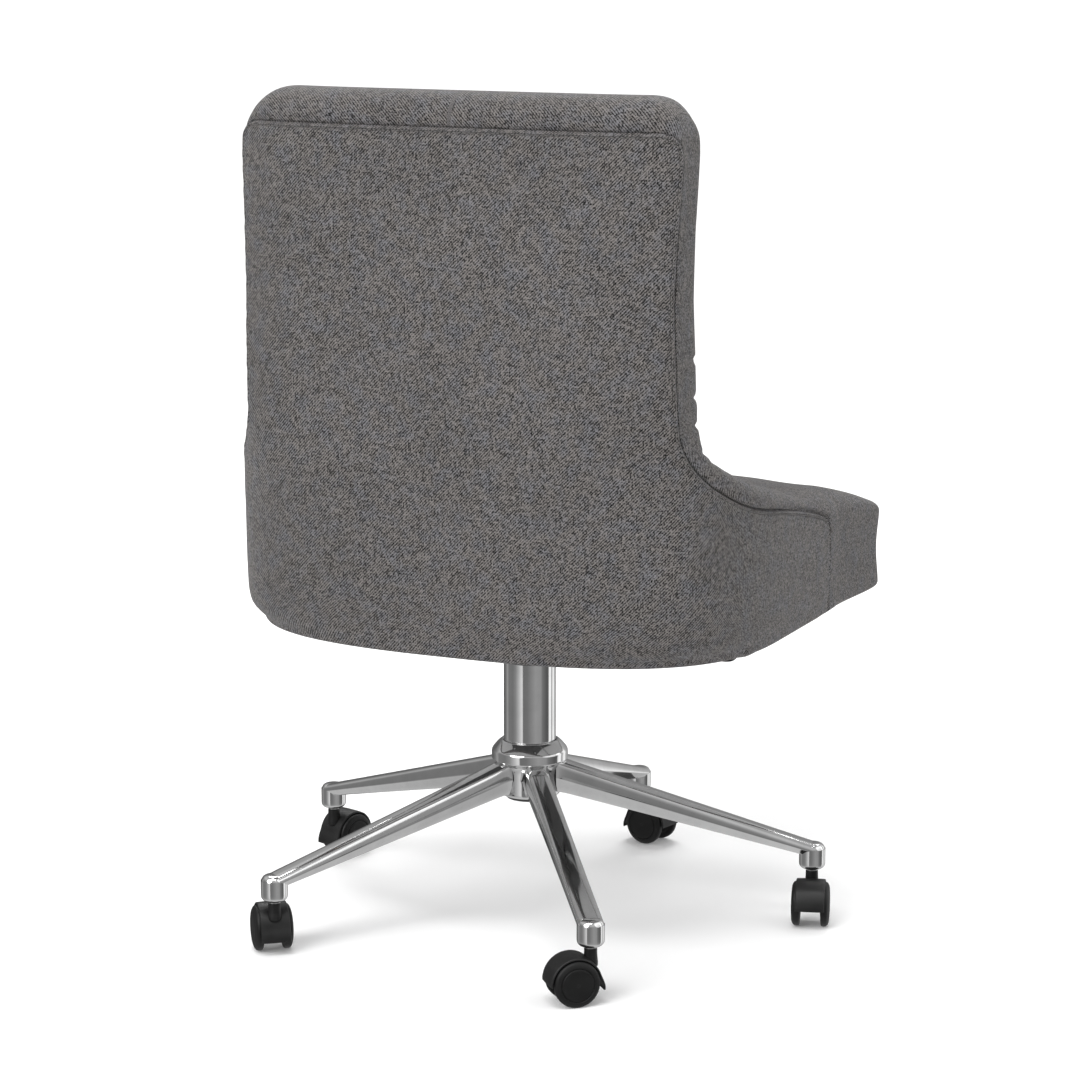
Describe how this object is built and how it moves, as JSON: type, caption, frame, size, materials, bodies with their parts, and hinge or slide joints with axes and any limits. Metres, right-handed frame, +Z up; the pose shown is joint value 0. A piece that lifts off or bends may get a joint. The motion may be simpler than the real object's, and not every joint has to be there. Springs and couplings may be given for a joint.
{
  "type": "swivel office chair",
  "caption": "Upholstered swivel chair: wraparound padded shell with tufted back on a bright five-arm castor base with a gas lift.",
  "frame": {"origin": "on the floor under the castors, on the swivel axis", "axes": "+Z up, -Y the way the sitter faces at rest, +X the sitter's left"},
  "size_m": [0.6272, 0.6542, 0.896],
  "materials": {
    "polished_base": "polished",
    "chrome_column": "polished",
    "steel": "satin",
    "black_steel": "satin",
    "castor_plastic": "satin",
    "inner_plastic": "matte",
    "wood_board": "matte",
    "webbing": "matte",
    "dust_cloth": "matte",
    "upholstery": "matte"
  },
  "bodies": {
    "base": {"star_base": "polished_base", "stem_sockets": "inner_plastic", "column_sleeve": "chrome_column", "lift_outer_tube": "black_steel", "guide_bush": "inner_plastic", "thrust_bearing": "steel"},
    "rod": {"piston_rod": "steel", "rod_collar": "steel", "rod_clip": "steel", "lift_piston": "steel"},
    "seat": {"pressure_tube": "chrome_column", "rod_gland": "inner_plastic", "mechanism_plate": "black_steel", "cone_socket": "black_steel", "lever_bracket": "black_steel", "lever_pin": "steel", "plate_bolts": "steel", "tee_nuts": "steel", "dust_cover": "dust_cloth", "seat_board": "wood_board", "seat_frame": "wood_board", "seat_webbing": "webbing", "back_frame": "wood_board", "back_board": "wood_board", "outer_panel": "upholstery", "back_pad": "upholstery", "seat_pad": "upholstery", "front_apron": "upholstery", "tuft_buttons": "upholstery"},
    "valve": {"valve_pin": "steel"},
    "lever": {"lever_rod": "chrome_column", "lever_paddle": "castor_plastic"},
    "castor_1": {"castor_stem_1": "steel", "castor_hood_1": "castor_plastic", "castor_axle_1": "steel"},
    "roller_left_1": {"wheel_left_1": "castor_plastic"},
    "roller_right_1": {"wheel_right_1": "castor_plastic"},
    "castor_2": {"castor_stem_2": "steel", "castor_hood_2": "castor_plastic", "castor_axle_2": "steel"},
    "roller_left_2": {"wheel_left_2": "castor_plastic"},
    "roller_right_2": {"wheel_right_2": "castor_plastic"},
    "castor_3": {"castor_stem_3": "steel", "castor_hood_3": "castor_plastic", "castor_axle_3": "steel"},
    "roller_left_3": {"wheel_left_3": "castor_plastic"},
    "roller_right_3": {"wheel_right_3": "castor_plastic"},
    "castor_4": {"castor_stem_4": "steel", "castor_hood_4": "castor_plastic", "castor_axle_4": "steel"},
    "roller_left_4": {"wheel_left_4": "castor_plastic"},
    "roller_right_4": {"wheel_right_4": "castor_plastic"},
    "castor_5": {"castor_stem_5": "steel", "castor_hood_5": "castor_plastic", "castor_axle_5": "steel"},
    "roller_left_5": {"wheel_left_5": "castor_plastic"},
    "roller_right_5": {"wheel_right_5": "castor_plastic"}
  },
  "joints": [
    {"name": "seat_swivel", "type": "hinge", "parent": "base", "child": "rod", "pos_m": [0, 0, 0.134], "axis": [0, 0, 1], "continuous": true},
    {"name": "seat_lift", "type": "slide", "parent": "rod", "child": "seat", "axis": [0, 0, 1], "range_m": [0, 0.08]},
    {"name": "lever_pull", "type": "hinge", "parent": "seat", "child": "lever", "pos_m": [-0.04, 0.008, 0.314], "axis": [0, 1, 0], "range_deg": [0, 3.5], "stiffness_Nm_per_rad": 2, "springref_deg": -8.59},
    {"name": "valve_press", "type": "slide", "parent": "seat", "child": "valve", "axis": [0, 0, -1], "range_m": [0, 0.0025]},
    {"name": "castor_swivel_1", "type": "hinge", "parent": "base", "child": "castor_1", "pos_m": [0.17869, 0.24594, 0.06], "axis": [0, 0, 1], "continuous": true},
    {"name": "wheel_spin_left_1", "type": "hinge", "parent": "castor_1", "child": "roller_left_1", "pos_m": [0.19064, 0.23118, 0.0237], "axis": [0.7771, 0.6293, 0], "continuous": true},
    {"name": "wheel_spin_right_1", "type": "hinge", "parent": "castor_1", "child": "roller_right_1", "pos_m": [0.19064, 0.23118, 0.0237], "axis": [0.7771, 0.6293, 0], "continuous": true},
    {"name": "castor_swivel_2", "type": "hinge", "parent": "base", "child": "castor_2", "pos_m": [-0.17869, 0.24594, 0.06], "axis": [0, 0, 1], "continuous": true},
    {"name": "wheel_spin_left_2", "type": "hinge", "parent": "castor_2", "child": "roller_left_2", "pos_m": [-0.16457, 0.25865, 0.0237], "axis": [-0.6691, 0.7431, 0], "continuous": true},
    {"name": "wheel_spin_right_2", "type": "hinge", "parent": "castor_2", "child": "roller_right_2", "pos_m": [-0.16457, 0.25865, 0.0237], "axis": [-0.6691, 0.7431, 0], "continuous": true},
    {"name": "castor_swivel_3", "type": "hinge", "parent": "base", "child": "castor_3", "pos_m": [-0.28912, -0.09394, 0.06], "axis": [0, 0, 1], "continuous": true},
    {"name": "wheel_spin_left_3", "type": "hinge", "parent": "castor_3", "child": "roller_left_3", "pos_m": [-0.29468, -0.07577, 0.0237], "axis": [-0.9563, -0.2924, 0], "continuous": true},
    {"name": "wheel_spin_right_3", "type": "hinge", "parent": "castor_3", "child": "roller_right_3", "pos_m": [-0.29468, -0.07577, 0.0237], "axis": [-0.9563, -0.2924, 0], "continuous": true},
    {"name": "castor_swivel_4", "type": "hinge", "parent": "base", "child": "castor_4", "pos_m": [0, -0.304, 0.06], "axis": [0, 0, 1], "continuous": true},
    {"name": "wheel_spin_left_4", "type": "hinge", "parent": "castor_4", "child": "roller_left_4", "pos_m": [-0.01851, -0.29973, 0.0237], "axis": [-0.225, -0.9744, 0], "continuous": true},
    {"name": "wheel_spin_right_4", "type": "hinge", "parent": "castor_4", "child": "roller_right_4", "pos_m": [-0.01851, -0.29973, 0.0237], "axis": [-0.225, -0.9744, 0], "continuous": true},
    {"name": "castor_swivel_5", "type": "hinge", "parent": "base", "child": "castor_5", "pos_m": [0.28912, -0.09394, 0.06], "axis": [0, 0, 1], "continuous": true},
    {"name": "wheel_spin_left_5", "type": "hinge", "parent": "castor_5", "child": "roller_left_5", "pos_m": [0.28325, -0.11201, 0.0237], "axis": [0.9511, -0.309, 0], "continuous": true},
    {"name": "wheel_spin_right_5", "type": "hinge", "parent": "castor_5", "child": "roller_right_5", "pos_m": [0.28325, -0.11201, 0.0237], "axis": [0.9511, -0.309, 0], "continuous": true}
  ],
  "couplings": [
    {"joint": "valve_press", "follows": "lever_pull", "m_per_rad": 0.04}
  ]
}
